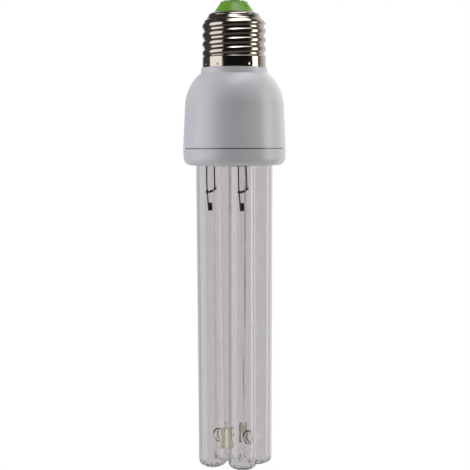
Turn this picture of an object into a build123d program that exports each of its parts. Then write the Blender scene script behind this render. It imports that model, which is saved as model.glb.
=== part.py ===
"""Germicidal lamp: four bridged quartz tubes in a two-part housing on a 27 mm screw cap.

The lamp stands base up along +Z. The origin is on the lamp's axis at the lower edge of the
screw shell's skirt, where the shell meets the plastic neck. Depths are measured down from it.
Millimetres throughout.
"""

from build123d import *
import math
import os

# How far a cutting form runs past what it cuts
cut_over = 1.0

# Screw shell
skirt_radius = 12.95
skirt_height = 4.3
crest_margin = 0.1
thread_crest_radius = skirt_radius + crest_margin
thread_depth = 1.0
thread_root_radius = thread_crest_radius - thread_depth
thread_pitch = 25.4 / 7
ridge_foot_width = 3.0
ridge_crest_width = 0.9
crest_height = 6.2
crest_bearing = 207.5
shell_wall = 0.4
shoulder_height = 18.6
shoulder_rise = 2.3
waist_inset = 1.55
waist_radius = thread_root_radius - waist_inset
waist_height = shoulder_height + shoulder_rise
groove_depth = 0.15
groove_width = 0.5
bead_height = waist_height + groove_width
bead_rise = 1.3
bead_sagitta = 0.3
shell_height = bead_height + bead_rise
lip_reach = 2.4
lip_radius = waist_radius - lip_reach
lip_thickness = 0.5
dimple_count = 12
dimple_radius = 0.9
dimple_depth = 0.2
dimple_height = 1.2

# Insulator and centre contact
insulator_hold = 0.9
insulator_flange_radius = lip_radius + insulator_hold
insulator_flange_height = 1.2
insulator_height = 4.3
insulator_taper = 2.4
insulator_rim_radius = lip_radius - insulator_taper
insulator_rim_drop = 0.8
insulator_rim_sagitta = 0.18
vent_radius = 0.5
vent_reach = 0.8
vent_height = 2.3
vent_bearing = -14.0
contact_margin = 0.7
contact_radius = insulator_rim_radius - insulator_rim_drop - contact_margin
contact_edge = 0.25
contact_height = 1.0
contact_flat_radius = 1.3
contact_sagitta = 0.2
shank_radius = 0.9
shank_length = 7.5

# Depths below the cap's rim
board_top_depth = 20.2
board_thickness = 1.6
seam_depth = 32.7
holder_side_height = 3.7
holder_side_depth = seam_depth + holder_side_height
holder_corner_height = 3.15
holder_base_depth = holder_side_depth + holder_corner_height
holder_belly = 0.55
holder_depth = holder_base_depth + holder_belly
tube_bottom_depth = 161.5

# Quartz envelope
tube_radius = 5.7
tube_wall = 1.0
tube_dome_height = 3.5
tube_corner_radius = 2.6
tube_gap = 1.95
tube_spread = 1.4
tube_pitch_bottom = 2 * tube_radius + tube_gap
tube_pitch_top = tube_pitch_bottom + tube_spread
plain_top_rise = 14.05
plain_top_depth = holder_base_depth - plain_top_rise
bridge_radius = 3.1
bridge_bore_radius = 2.3
lower_bridge_rise = 12.2
lower_bridge_depth = tube_bottom_depth - lower_bridge_rise
upper_bridge_rise = 7.25
upper_bridge_depth = holder_base_depth - upper_bridge_rise
pinch_width = 8.5
pinch_thickness = 3.0
pinch_gap = 2.0
pinch_top_depth = board_top_depth + board_thickness + pinch_gap
foil_width = 1.6
foil_thickness = 0.1
foil_length = 3.0
foil_cover = 1.4
foil_top_depth = pinch_top_depth + foil_cover
seal_gap = 0.8
sealed_top_depth = foil_top_depth + foil_length + seal_gap
tube_clearance = 0.25
cement_recess = 1.0

# Upper housing
housing_wall = 1.6
spigot_clearance = 0.05
spigot_height = 12.0
spigot_wall = 1.4
spigot_bore_radius = thread_root_radius - shell_wall - spigot_clearance - spigot_wall
neck_margin = 0.45
neck_top_radius = skirt_radius + neck_margin
neck_flare = 0.25
neck_radius = neck_top_radius + neck_flare
neck_height = 2.45
shoulder_flare = 0.4
shoulder_top_radius = neck_radius + shoulder_flare
rim_margin = 7.825
rim_radius = tube_pitch_top / 2 + tube_radius + rim_margin
bell_draft = 0.9
bell_sagitta = 1.2
bell_end_radius = rim_radius - bell_draft
bell_end_depth = 13.8
seam_gap = 0.4
seam_reach = 0.7
board_rib_count = 4
board_rib_width = 1.2
board_rib_reach = 1.0
board_rib_height = 6.0

# Tube holder
holder_draft = 0.15
holder_corner_width = 2.75
holder_side_radius = rim_radius - holder_draft
holder_corner_sagitta = 0.75
holder_base_radius = holder_side_radius - holder_corner_width
holder_wall = 1.6
holder_lip_height = 2.6
holder_lip_clearance = 0.1
holder_lip_wall = 1.3
socket_wall = 1.2
socket_height = 2.8
post_radius = 1.5
post_inset = 2.0
post_count = 4

# Electrodes and seals
lead_radius = 0.26
lead_spacing = 3.4
lead_bend = 3.0
filament_drop = 9.4
filament_depth = holder_depth + filament_drop
filament_rise = 1.3
filament_radius = 0.45
filament_length = 1.8
filament_gap = 0.35
clamp_width = 0.8
clamp_thickness = 0.7
clamp_height = 1.1
long_lead_rise = 2.5
long_lead_knee = filament_depth - long_lead_rise
long_lead_reach = 8.3
long_lead_depth = filament_depth + long_lead_reach
long_lead_lean = 0.9
short_lead_rise = 11.5
short_lead_knee = filament_depth - short_lead_rise
short_lead_depth = filament_depth - filament_rise / 2 + clamp_height / 2
short_lead_lean = 0.35
tail_radius = 0.12
tail_reach = 1.1
holder_tube_radius = 0.72
holder_tube_bore = 0.5
holder_tube_length = 3.2
pellet_length = 2.4
outer_lead_radius = 0.25
outer_lead_stub = 0.6

# Silicone pads between the two pairs of tubes
pad_width = 4.0
pad_height = 8.0
pad_rise = 0.3
pad_depth = lower_bridge_depth - pad_rise
pad_inner_reach = 5.0
front_pad_reach = 9.5
back_pad_reach = 7.8

# Outline of the board
board_inset = 3.3
board_radius = rim_radius - board_inset
board_hole_clearance = 0.1

# Parts on the board
smoother_radius = 5.0
smoother_height = 16.0
smoother_offset = 6.2
can_groove = 0.4
can_groove_height = 2.0
core_x = -7.6
core_y = 1.6
core_span = 16.0
core_height = 13.0
core_thickness = 5.0
core_web = 2.2
core_leg = 4.2
bobbin_flange = 0.8
bobbin_wall = 0.7
winding_depth = 2.4
ring_x = 5.0
ring_inset = 5.8
ring_y = ring_inset - board_radius
ring_radius = 3.6
ring_bore_radius = 1.8
ring_height = 3.6
ring_wire_radius = 0.25
ring_turns = 6
winding_clearance = 0.05
film_round = 0.8
starter_x = 4.0
starter_inset = 6.4
starter_y = board_radius - starter_inset
starter_length = 9.0
starter_thickness = 4.2
starter_height = 7.0
coupler_x = -6.0
coupler_inset = 5.4
coupler_y = board_radius - coupler_inset
coupler_length = 7.0
coupler_thickness = 3.6
coupler_height = 5.5
transistor_radius = 2.3
transistor_height = 4.8
transistor_flat = 1.0
transistor_inset = 3.6
transistor_spacing = 6.4
diode_radius = 1.35
diode_length = 5.2
diode_count = 4
diode_inset = 3.1
diode_first_bearing = 226.0
diode_step = 12.0
resistor_radius = 0.9
resistor_length = 3.4
outer_resistor_inset = 3.2
outer_resistor_bearings = (30.0, 42.0)
inner_resistor_inset = 7.0
inner_resistor_bearing = 266.0
live_lead_radius = 0.35
fuse_radius = 1.7
fuse_length = 7.0
fuse_bottom_height = 7.0
shell_lead_radius = 0.35
shell_lead_bend = 1.0
shell_lead_gap = 0.3
shell_lead_end_gap = 0.03
shell_lead_bearing = 45.0


def revolved(*curves):
    """A solid of revolution about Z from a closed outline drawn as radius and height."""
    outline = Wire([edge for curve in curves for edge in curve.edges()])
    return revolve(make_face(Plane.XZ * outline), Axis.Z)


def cylinder(radius, bottom, top, x=0, y=0):
    """An upright cylinder between two heights."""
    return Pos(x, y, (bottom + top) / 2) * Cylinder(radius, top - bottom)


def polar(radius, bearing):
    """The place at a radius and a bearing in degrees."""
    angle = math.radians(bearing)
    return radius * math.cos(angle), radius * math.sin(angle)


def on_board(x, y, height):
    """A place above the board's top face."""
    return Pos(x, y, height - board_top_depth)


# Places of the four tubes, as signs of x and y
LEFT, FRONT, RIGHT, BACK = (-1, -1), (1, -1), (1, 1), (-1, 1)
TUBES = (LEFT, FRONT, RIGHT, BACK)
SEALED_TUBES = {"a": LEFT, "b": FRONT}


def tube_offset(depth):
    """How far a tube's axis stands from the lamp's middle, along x and y, at a depth."""
    share = (tube_bottom_depth - depth) / (tube_bottom_depth - plain_top_depth)
    return (tube_pitch_bottom + share * (tube_pitch_top - tube_pitch_bottom)) / 2


def tube_point(tube, depth):
    """The point on a tube's leaning axis at a depth."""
    offset = tube_offset(depth)
    return Vector(tube[0] * offset, tube[1] * offset, -depth)


def tube_plane(tube):
    """The plane at a tube's lower end, with its normal up the leaning axis."""
    foot = tube_point(tube, tube_bottom_depth)
    head = tube_point(tube, plain_top_depth)
    return Plane(origin=foot, x_dir=(1, 0, 0), z_dir=head - foot)


def along_tube(depth):
    """The height along a tube's axis, from its lower end, that a depth comes to."""
    return tube_bottom_depth - depth


def tube_cylinder(tube, radius, lower_depth, upper_depth):
    """A cylinder on a tube's own leaning axis between two depths."""
    return tube_plane(tube) * cylinder(radius, along_tube(lower_depth), along_tube(upper_depth))


def thread_ridge():
    """The rolled thread's ridge, swept up a right-hand helix that starts inside the skirt."""
    start = skirt_height - ridge_foot_width / 2
    rise = shoulder_height + ridge_foot_width - start
    bearing = crest_bearing + 360 * (start - crest_height) / thread_pitch
    helix = Helix(thread_pitch, rise, thread_root_radius)
    bury = shell_wall / 2
    foot = ridge_foot_width / 2
    crest = ridge_crest_width / 2
    lower = ((-bury, -foot), (0, -foot), (thread_depth, -crest))
    upper = ((thread_depth, crest), (0, foot), (-bury, foot))
    outline = Polygon(*lower, *upper, align=None)
    section = Plane(origin=helix @ 0, x_dir=(1, 0, 0), z_dir=helix % 0) * outline
    return Pos(0, 0, start) * Rot(0, 0, bearing) * sweep(section, path=helix, is_frenet=True)


def shell_blank():
    """The shell's solid form without its thread: skirt, barrel, shoulder, groove, bead and lip."""
    taper_top = skirt_height + skirt_radius - thread_root_radius
    lip_edge = (lip_radius + shell_wall / 2, shell_height)
    return revolved(
        Polyline(
            (0, 0),
            (skirt_radius, 0),
            (skirt_radius, skirt_height),
            (thread_root_radius, taper_top),
            (thread_root_radius, shoulder_height),
            (waist_radius, waist_height),
            (waist_radius - groove_depth, (waist_height + bead_height) / 2),
            (waist_radius, bead_height),
        ),
        SagittaArc((waist_radius, bead_height), lip_edge, -bead_sagitta),
        Polyline(lip_edge, (0, shell_height), (0, 0)),
    )


def thread_limit():
    """What the ridge may fill: it runs out at its top along the shoulder's slope."""
    outer = skirt_radius + cut_over
    slope = (waist_height - shoulder_height) / (thread_root_radius - waist_radius)
    run_out = shoulder_height - (outer - thread_root_radius) * slope
    return revolved(
        Polyline(
            (0, 0), (outer, 0), (outer, run_out), (waist_radius, waist_height), (0, waist_height), (0, 0)
        )
    )


def screw_shell():
    """Rolled metal shell: skirt, round thread, shoulder, groove, bead and staking dimples."""
    shell = shell_blank() + (thread_ridge() & thread_limit())
    flange_top = shell_height - lip_thickness
    flange_bottom = flange_top - insulator_flange_height
    shell -= revolved(
        Polyline(
            (0, -cut_over),
            (skirt_radius - shell_wall, -cut_over),
            (skirt_radius - shell_wall, skirt_height),
            (thread_root_radius - shell_wall, skirt_height),
            (thread_root_radius - shell_wall, shoulder_height),
            (insulator_flange_radius, flange_bottom),
            (insulator_flange_radius, flange_top),
            (lip_radius, flange_top),
            (lip_radius, shell_height + cut_over),
            (0, shell_height + cut_over),
            (0, -cut_over),
        )
    )
    for step in range(dimple_count):
        bearing = crest_bearing + 360 * step / dimple_count
        x, y = polar(skirt_radius + dimple_radius - dimple_depth, bearing)
        shell -= Pos(x, y, dimple_height) * Sphere(dimple_radius)
    return shell


def cap_insulator():
    """Green moulded insulator: a flange under the shell's lip, a cone and a small blind vent."""
    flange_top = shell_height - lip_thickness
    flange_bottom = flange_top - insulator_flange_height
    top = shell_height + insulator_height
    rim = (insulator_rim_radius, top - insulator_rim_drop)
    crown = (insulator_rim_radius - insulator_rim_drop, top)
    body = revolved(
        Polyline(
            (shank_radius, flange_bottom),
            (insulator_flange_radius, flange_bottom),
            (insulator_flange_radius, flange_top),
            (lip_radius, flange_top),
            (lip_radius, shell_height),
            rim,
        ),
        SagittaArc(rim, crown, -insulator_rim_sagitta),
        Polyline(crown, (shank_radius, top), (shank_radius, flange_bottom)),
    )
    slope = (lip_radius - insulator_rim_radius) / (insulator_height - insulator_rim_drop)
    face = lip_radius - vent_height * slope
    outward = Plane(origin=(face, 0, shell_height + vent_height), z_dir=(1, 0, slope))
    vent = outward * cylinder(vent_radius, -vent_reach, cut_over)
    return body - Rot(0, 0, vent_bearing) * vent


def centre_contact():
    """Nail-shaped contact: a domed head with a small flat and a shank through the insulator."""
    seat = shell_height + insulator_height
    top = seat + contact_height
    return revolved(
        Line((0, seat - shank_length), (shank_radius, seat - shank_length)),
        Line((shank_radius, seat - shank_length), (shank_radius, seat)),
        Line((shank_radius, seat), (contact_radius, seat)),
        Line((contact_radius, seat), (contact_radius, seat + contact_edge)),
        SagittaArc((contact_radius, seat + contact_edge), (contact_flat_radius, top), -contact_sagitta),
        Line((contact_flat_radius, top), (0, top)),
        Line((0, top), (0, seat - shank_length)),
    )


def bell_radius(depth):
    """The housing's outer radius at a depth on its straight, slightly tapered side."""
    share = (depth - bell_end_depth) / (seam_depth - bell_end_depth)
    return bell_end_radius + share * (rim_radius - bell_end_radius)


def bell_edges():
    """The housing's outline from under the neck to the seam: a rounded shoulder and a side."""
    waist = (bell_end_radius, -bell_end_depth)
    shoulder = SagittaArc((shoulder_top_radius, -neck_height), waist, bell_sagitta)
    return shoulder, Line(waist, (rim_radius, seam_gap / 2 - seam_depth))


def bell_inside(shoulder):
    """The inner outline's points, one wall in from the shoulder and the side."""
    middle = shoulder @ 0.5
    inward = shoulder % 0.5
    return (
        (shoulder_top_radius - housing_wall, -neck_height - housing_wall),
        (middle.X + housing_wall * inward.Y, middle.Y - housing_wall * inward.X),
        (bell_end_radius - housing_wall, -bell_end_depth),
        (rim_radius - housing_wall, -seam_depth),
    )


def upper_housing():
    """Moulded housing: a spigot inside the screw shell, a neck ring and a bell with ribs."""
    shoulder, side = bell_edges()
    inner_points = bell_inside(shoulder)
    roof = inner_points[0][1]
    thread_spigot = thread_root_radius - shell_wall - spigot_clearance
    skirt_spigot = skirt_radius - shell_wall - spigot_clearance
    spigot_step = skirt_height - spigot_clearance
    body = revolved(
        Polyline(
            (spigot_bore_radius, spigot_height),
            (thread_spigot, spigot_height),
            (thread_spigot, spigot_step),
            (skirt_spigot, spigot_step),
            (skirt_spigot, 0),
            (neck_top_radius, 0),
            (neck_radius, -neck_height),
            (shoulder_top_radius, -neck_height),
        ),
        shoulder,
        side,
        Polyline(
            (rim_radius, seam_gap / 2 - seam_depth),
            (rim_radius - seam_reach, seam_gap / 2 - seam_depth),
            (rim_radius - seam_reach, -seam_depth),
            *inner_points[::-1],
            (spigot_bore_radius, roof),
            (spigot_bore_radius, spigot_height),
        ),
    )
    inside = revolved(Polyline((0, roof), *inner_points, (0, -seam_depth), (0, roof)))
    reach = board_radius - board_rib_reach
    length = rim_radius - housing_wall / 2 - reach
    rib = Box(length, board_rib_width, board_rib_height)
    rib = on_board(reach + length / 2, 0, board_rib_height / 2) * rib
    for step in range(board_rib_count):
        body += (Rot(0, 0, 45 + 360 * step / board_rib_count) * rib) & inside
    return body


def tube_holder():
    """Moulded lower housing: base with four leaning holes, sockets, locating lip and posts."""
    floor_depth = holder_depth - holder_wall
    lip_gap = housing_wall + holder_lip_clearance
    lip_outer = rim_radius - lip_gap
    lip_top = holder_lip_height - seam_depth
    lip_top_outer = bell_radius(-lip_top) - lip_gap
    lip_inner = lip_top_outer - holder_lip_wall
    body = revolved(
        Polyline(
            (rim_radius - seam_reach, -seam_depth),
            (rim_radius - seam_reach, -seam_depth - seam_gap / 2),
            (rim_radius, -seam_depth - seam_gap / 2),
            (holder_side_radius, -holder_side_depth),
        ),
        SagittaArc(
            (holder_side_radius, -holder_side_depth),
            (holder_base_radius, -holder_base_depth),
            holder_corner_sagitta,
        ),
        Polyline(
            (holder_base_radius, -holder_base_depth),
            (0, -holder_depth),
            (0, -floor_depth),
            (lip_inner, -floor_depth),
            (lip_inner, lip_top),
            (lip_top_outer, lip_top),
            (lip_outer, -seam_depth),
            (rim_radius - seam_reach, -seam_depth),
        ),
    )
    socket_top = floor_depth - socket_height
    for tube in TUBES:
        socket = tube_radius + tube_clearance + socket_wall
        body += tube_cylinder(tube, socket, floor_depth + holder_wall / 2, socket_top)
    for tube in TUBES:
        hole = tube_radius + tube_clearance
        body -= tube_cylinder(tube, hole, holder_depth + cut_over, socket_top - cut_over)
    board_bottom = board_top_depth + board_thickness
    for step in range(post_count):
        x, y = polar(board_radius - post_inset, 360 * step / post_count)
        body += cylinder(post_radius, -floor_depth - holder_wall / 2, -board_bottom, x, y)
    return body


def tube_cement():
    """White cement between each tube and its socket, set back from the base's face."""
    socket_top = holder_depth - holder_wall - socket_height
    cement = []
    for tube in TUBES:
        hole = tube_radius + tube_clearance
        ring = tube_cylinder(tube, hole, holder_base_depth - cement_recess, socket_top)
        ring -= tube_cylinder(tube, tube_radius, holder_depth, socket_top - cut_over)
        cement.append(ring)
    return Compound(children=cement)


def dome_arcs(radius, dome_height, corner_radius, bottom):
    """A flattened dome's outline: a shallow crown and a tighter corner that runs into the wall."""
    side = radius - corner_radius
    crown = (dome_height**2 + side**2 - corner_radius**2) / (2 * (dome_height - corner_radius))
    meet = math.degrees(math.atan2(crown - dome_height, side))
    crown_arc = CenterArc((0, bottom + crown), crown, -90, 90 - meet)
    corner_arc = CenterArc((side, bottom + dome_height), corner_radius, -meet, meet)
    return crown_arc, corner_arc


def domed_tube(tube, inset, top_depth):
    """A tube's closed form on its leaning axis, drawn in by an inset: domed below, coned above."""
    radius = tube_radius - inset
    dome = tube_dome_height - inset
    top = along_tube(top_depth + inset)
    outline = revolved(
        *dome_arcs(radius, dome, tube_corner_radius - inset, inset),
        Polyline(
            (radius, inset + dome), (radius, top - dome), (radius - dome, top), (0, top), (0, inset)
        ),
    )
    return tube_plane(tube) * outline


def top_depth_of(tube):
    """Sealed tubes end lower than plain ones, which leaves room for their pinch seals."""
    return sealed_top_depth if tube in SEALED_TUBES.values() else plain_top_depth


def bridge(first, second, depth, radius):
    """A round neck that joins two neighbouring tubes, from axis to axis."""
    start = tube_point(first, depth)
    span = tube_point(second, depth) - start
    return Plane(origin=start, z_dir=span) * cylinder(radius, 0, span.length)


def bridges(radius):
    """The two lower bridges and the upper one, at one radius."""
    joined = bridge(LEFT, BACK, lower_bridge_depth, radius)
    joined += bridge(FRONT, RIGHT, lower_bridge_depth, radius)
    joined += bridge(BACK, RIGHT, upper_bridge_depth, radius)
    return joined


# Each lead's side of its pinch, the depth of its knee and of its end, and how far it leans along x
LONG_LEAD = (-1, long_lead_knee, long_lead_depth, long_lead_lean)
SHORT_LEAD = (1, short_lead_knee, short_lead_depth, short_lead_lean)


def lead_point(tube, lead, depth):
    """The point on a lead at a depth: upright to its knee, and leaning below it."""
    side, knee, end, lean = lead
    centre = tube_point(tube, filament_depth)
    share = max(0, (depth - knee) / (end - knee))
    return Vector(centre.X + side * lead_spacing / 2 + share * lean, centre.Y, -depth)


def lead_places(tube):
    """Where the long and the short lead of a tube's electrode stand in its pinch."""
    tops = (lead_point(tube, lead, foil_bottom()) for lead in (LONG_LEAD, SHORT_LEAD))
    return [(top.X, top.Y) for top in tops]


def quartz_envelope():
    """One piece of fused quartz: four closed tubes, three bridges and two pinch seals."""
    glass = bridges(bridge_radius)
    hollow = bridges(bridge_bore_radius)
    for tube in TUBES:
        glass += domed_tube(tube, 0, top_depth_of(tube))
        hollow += domed_tube(tube, tube_wall, top_depth_of(tube))
    for tube in SEALED_TUBES.values():
        centre = tube_point(tube, filament_depth)
        pinch_bottom = sealed_top_depth + tube_dome_height / 2
        pinch = Box(pinch_width, pinch_thickness, pinch_bottom - pinch_top_depth)
        glass += Pos(centre.X, centre.Y, -(pinch_bottom + pinch_top_depth) / 2) * pinch
    glass -= hollow
    for tube in SEALED_TUBES.values():
        for x, y in lead_places(tube):
            glass -= cylinder(lead_radius, -sealed_top_depth - tube_dome_height, -foil_bottom(), x, y)
            glass -= foil(x, y)
            glass -= cylinder(outer_lead_radius, -foil_top_depth, cut_over - pinch_top_depth, x, y)
    return glass


def foil_bottom():
    """The depth of the foils' lower edge."""
    return foil_top_depth + foil_length


def foil(x, y):
    """One sealing foil, flat in the pinch."""
    middle = -(foil_top_depth + foil_bottom()) / 2
    return Pos(x, y, middle) * Box(foil_width, foil_thickness, foil_length)


def seal_foils():
    """The four sealing foils, two in each pinch."""
    places = [place for tube in SEALED_TUBES.values() for place in lead_places(tube)]
    return Compound(children=[foil(x, y) for x, y in places])


def outer_leads():
    """The four wires from the foils up through the board."""
    top = outer_lead_stub - board_top_depth
    places = [place for tube in SEALED_TUBES.values() for place in lead_places(tube)]
    return Compound(children=[cylinder(outer_lead_radius, -foil_top_depth, top, x, y) for x, y in places])


def crossing(tube, lead):
    """The point where the rising filament passes through a lead."""
    return lead_point(tube, lead, filament_depth - lead[0] * filament_rise / 2)


def filament_plane(tube):
    """The plane at the long lead whose normal runs along the filament, and the leads' distance."""
    start = crossing(tube, LONG_LEAD)
    span = crossing(tube, SHORT_LEAD) - start
    return Plane(origin=start, z_dir=span), span.length


def filament_tail(tube):
    """The thin tail wire that runs through both leads and a little past them."""
    plane, span = filament_plane(tube)
    return plane * cylinder(tail_radius, -tail_reach, span + tail_reach)


def filament(tube):
    """Coil beside the long lead, as its outer form, with its two tails."""
    plane, _ = filament_plane(tube)
    start = clamp_width / 2 + filament_gap
    return plane * cylinder(filament_radius, start, start + filament_length) + filament_tail(tube)


def support_lead(tube, lead):
    """A support wire from its foil to its knee and on to its end, clamped on the filament's tail."""
    _, knee, end, _ = lead
    depths = (foil_bottom(), knee, end)
    route = FilletPolyline(*(lead_point(tube, lead, depth) for depth in depths), radius=lead_bend)
    section = Plane(origin=route @ 0, z_dir=route % 0) * Circle(lead_radius)
    clamp = Pos(crossing(tube, lead)) * Box(clamp_width, clamp_thickness, clamp_height)
    return sweep(section, path=route) + clamp - filament_tail(tube)


def beside_lead(tube, radius, bottom, top):
    """A cylinder welded along the long lead's lower end, between two heights from that end."""
    end = lead_point(tube, LONG_LEAD, long_lead_depth)
    upward = lead_point(tube, LONG_LEAD, long_lead_knee) - end
    plane = Plane(origin=end, x_dir=(1, 0, 0), z_dir=upward)
    return plane * cylinder(radius, bottom, top, lead_radius + holder_tube_radius)


def amalgam_top():
    """The height of the amalgam's upper face, under the closed end of its tube."""
    return holder_tube_length - (holder_tube_radius - holder_tube_bore)


def amalgam_holder(tube):
    """Short steel tube that holds the amalgam, open at its lower end."""
    body = beside_lead(tube, holder_tube_radius, 0, holder_tube_length)
    return body - beside_lead(tube, holder_tube_bore, -cut_over, amalgam_top())


def amalgam_pellet(tube):
    """The amalgam itself, at the closed end of its tube."""
    return beside_lead(tube, holder_tube_bore, amalgam_top() - pellet_length, amalgam_top())


def tube_pad(side, reach):
    """One pad in the gap between the two pairs of tubes, fluted by the glass that it seats on."""
    middle = side * (pad_inner_reach + reach) / 2
    pad = Pos(0, middle, -pad_depth) * Box(pad_width, reach - pad_inner_reach, pad_height)
    for tube in TUBES:
        pad -= tube_cylinder(tube, tube_radius, pad_depth + pad_height, pad_depth - pad_height)
    return pad


def tube_spacer():
    """The two silicone pads that hold the bridged pairs of tubes apart."""
    return Compound(children=[tube_pad(-1, front_pad_reach), tube_pad(1, back_pad_reach)])


def ballast_board():
    """Round circuit board with holes for the four outer leads."""
    board = cylinder(board_radius, -board_top_depth - board_thickness, -board_top_depth)
    for tube in SEALED_TUBES.values():
        for x, y in lead_places(tube):
            hole = outer_lead_radius + board_hole_clearance
            bottom = -board_top_depth - board_thickness - cut_over
            board -= cylinder(hole, bottom, cut_over - board_top_depth, x, y)
    return board


def smoothing_capacitor():
    """Upright can with a rolled groove near its foot."""
    can = revolved(
        Polyline(
            (0, 0),
            (smoother_radius, 0),
            (smoother_radius, can_groove_height - can_groove),
            (smoother_radius - can_groove, can_groove_height),
            (smoother_radius, can_groove_height + can_groove),
            (smoother_radius, smoother_height),
            (0, smoother_height),
            (0, 0),
        )
    )
    return on_board(smoother_offset, 0, 0) * can


def window_height():
    """The height of the choke core's two windows."""
    return core_height - 2 * core_web


def choke_core():
    """Ferrite core: a closed frame with an upright middle leg."""
    window = Box(core_thickness + cut_over, core_span - 2 * core_web, window_height())
    leg = Box(core_thickness, core_leg, window_height())
    core = Box(core_thickness, core_span, core_height) - window + leg
    return on_board(core_x, core_y, core_height / 2) * core


def leg_sleeve(margin, height):
    """A block about the core's middle leg, larger than it by a margin on its four sides."""
    block = Box(core_thickness + 2 * margin, core_leg + 2 * margin, height)
    return on_board(core_x, core_y, core_height / 2) * block


def choke_bobbin():
    """Moulded bobbin around the core's middle leg, with a flange at each end."""
    flange = leg_sleeve(bobbin_wall + winding_depth, bobbin_flange)
    lift = (window_height() - bobbin_flange) / 2
    body = leg_sleeve(bobbin_wall, window_height())
    body += Pos(0, 0, lift) * flange
    body += Pos(0, 0, -lift) * flange
    return body - leg_sleeve(0, core_height)


def choke_winding():
    """Copper winding on the bobbin, as one wound body."""
    height = window_height() - 2 * bobbin_flange
    return leg_sleeve(bobbin_wall + winding_depth, height) - leg_sleeve(bobbin_wall, core_height)


def drive_core():
    """Small ferrite ring that drives the switches."""
    bottom = 2 * ring_wire_radius + winding_clearance - board_top_depth
    ring = cylinder(ring_radius, bottom, bottom + ring_height, ring_x, ring_y)
    top = bottom + ring_height
    return ring - cylinder(ring_bore_radius, bottom - cut_over, top + cut_over, ring_x, ring_y)


def drive_windings():
    """Turns of wire round the ferrite ring, each a closed rectangular loop."""
    wire = 2 * ring_wire_radius
    width = ring_radius - ring_bore_radius + 2 * winding_clearance
    height = ring_height + 2 * winding_clearance
    turn = Box(width + 2 * wire, wire, height + 2 * wire) - Box(width, 2 * wire, height)
    middle = Pos((ring_radius + ring_bore_radius) / 2, 0, 0)
    place = on_board(ring_x, ring_y, wire + height / 2)
    turns = [place * Rot(0, 0, 360 * step / ring_turns) * middle * turn for step in range(ring_turns)]
    return Compound(children=turns)


def film_capacitor(x, y, length, depth, height):
    """A dipped film capacitor: a box with its upright edges rounded."""
    block = Pos(x, y, height / 2 - board_top_depth) * Box(length, depth, height)
    return fillet(block.edges().filter_by(Axis.Z), film_round)


def switching_transistor(side):
    """A small flat-faced transistor body beside the board's edge."""
    x = board_radius - transistor_inset
    y = side * transistor_spacing / 2
    body = cylinder(transistor_radius, -board_top_depth, transistor_height - board_top_depth, x, y)
    beyond = x - transistor_flat + transistor_radius
    width = 2 * transistor_radius
    return body & (on_board(beyond, y, transistor_height / 2) * Box(width, width, transistor_height))


def standing_parts(radius, length, places):
    """Small parts that stand on end on the board, at places given by their ring and bearing."""
    parts = []
    for ring, bearing in places:
        x, y = polar(ring, bearing)
        parts.append(cylinder(radius, -board_top_depth, length - board_top_depth, x, y))
    return Compound(children=parts)


def rectifier_diodes():
    """Four diodes that stand on end along the board's edge."""
    ring = board_radius - diode_inset
    bearings = [diode_first_bearing + step * diode_step for step in range(diode_count)]
    return standing_parts(diode_radius, diode_length, [(ring, bearing) for bearing in bearings])


def base_resistors():
    """Three small resistors that stand on end."""
    places = [(board_radius - outer_resistor_inset, bearing) for bearing in outer_resistor_bearings]
    places.append((board_radius - inner_resistor_inset, inner_resistor_bearing))
    return standing_parts(resistor_radius, resistor_length, places)


def fusible_resistor():
    """Fusible resistor in the live lead, straight up the axis to the contact's shank."""
    shank_end = shell_height + insulator_height - shank_length
    lead = cylinder(live_lead_radius, -board_top_depth, shank_end)
    return lead + cylinder(fuse_radius, fuse_bottom_height, fuse_bottom_height + fuse_length)


def shell_lead():
    """Stiff wire from the board up the neck and out over the spigot to the screw shell."""
    standoff = shell_lead_radius + shell_lead_gap
    riser = spigot_bore_radius - standoff
    over = spigot_height + standoff
    end = thread_root_radius - shell_wall - shell_lead_end_gap
    start = (riser, 0, -board_top_depth)
    route = FilletPolyline(start, (riser, 0, over), (end, 0, over), radius=shell_lead_bend)
    section = Plane(origin=start, z_dir=(0, 0, 1)) * Circle(shell_lead_radius)
    return Rot(0, 0, shell_lead_bearing) * sweep(section, path=route)


def build():
    """Every piece of the lamp by its name."""
    pieces = {
        "screw_shell": screw_shell(),
        "cap_insulator": cap_insulator(),
        "centre_contact": centre_contact(),
        "upper_housing": upper_housing(),
        "tube_holder": tube_holder(),
        "tube_cement": tube_cement(),
        "quartz_envelope": quartz_envelope(),
        "tube_spacer": tube_spacer(),
        "seal_foils": seal_foils(),
        "outer_leads": outer_leads(),
        "ballast_board": ballast_board(),
        "smoothing_capacitor": smoothing_capacitor(),
        "choke_core": choke_core(),
        "choke_bobbin": choke_bobbin(),
        "choke_winding": choke_winding(),
        "drive_core": drive_core(),
        "drive_windings": drive_windings(),
        "starting_capacitor": film_capacitor(
            starter_x, starter_y, starter_length, starter_thickness, starter_height
        ),
        "coupling_capacitor": film_capacitor(
            coupler_x, coupler_y, coupler_length, coupler_thickness, coupler_height
        ),
        "switching_transistor_1": switching_transistor(-1),
        "switching_transistor_2": switching_transistor(1),
        "rectifier_diodes": rectifier_diodes(),
        "base_resistors": base_resistors(),
        "fusible_resistor": fusible_resistor(),
        "shell_lead": shell_lead(),
    }
    for name, tube in SEALED_TUBES.items():
        pieces[f"long_lead_{name}"] = support_lead(tube, LONG_LEAD)
        pieces[f"short_lead_{name}"] = support_lead(tube, SHORT_LEAD)
        pieces[f"filament_{name}"] = filament(tube)
        pieces[f"amalgam_holder_{name}"] = amalgam_holder(tube)
        pieces[f"amalgam_pellet_{name}"] = amalgam_pellet(tube)
    return pieces


os.makedirs("parts", exist_ok=True)
for name, piece in build().items():
    export_step(piece, f"parts/{name}.step")
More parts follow.
